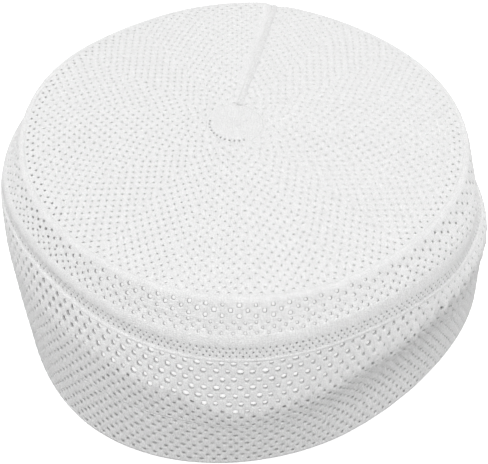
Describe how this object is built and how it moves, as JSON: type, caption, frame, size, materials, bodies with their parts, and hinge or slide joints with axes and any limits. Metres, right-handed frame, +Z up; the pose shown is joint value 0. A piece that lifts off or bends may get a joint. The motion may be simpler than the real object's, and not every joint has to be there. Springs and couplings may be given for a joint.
{
  "type": "prayer cap",
  "caption": "White knitted prayer cap with an openwork crown gathered to a plain centre, a shoulder band, an openwork side wall and a turned-up inner hem; soft, slightly dented, resting on its rim",
  "frame": {"origin": "under the middle of the cap's box, on the plane its rim rests on", "axes": "+Z up through the crown, -Y towards the front as seen, +X to the viewer's right"},
  "size_m": [0.192, 0.195, 0.091],
  "materials": {
    "openwork_knit": "matte white knitted yarn with rows of eyelets",
    "plain_knit": "matte white knitted yarn without eyelets"
  },
  "bodies": {
    "root": {"crown_top": "openwork_knit", "shoulder_band": "openwork_knit", "side_wall": "openwork_knit", "inner_hem": "openwork_knit", "centre_closing": "plain_knit", "back_seam": "plain_knit"}
  },
  "joints": []
}
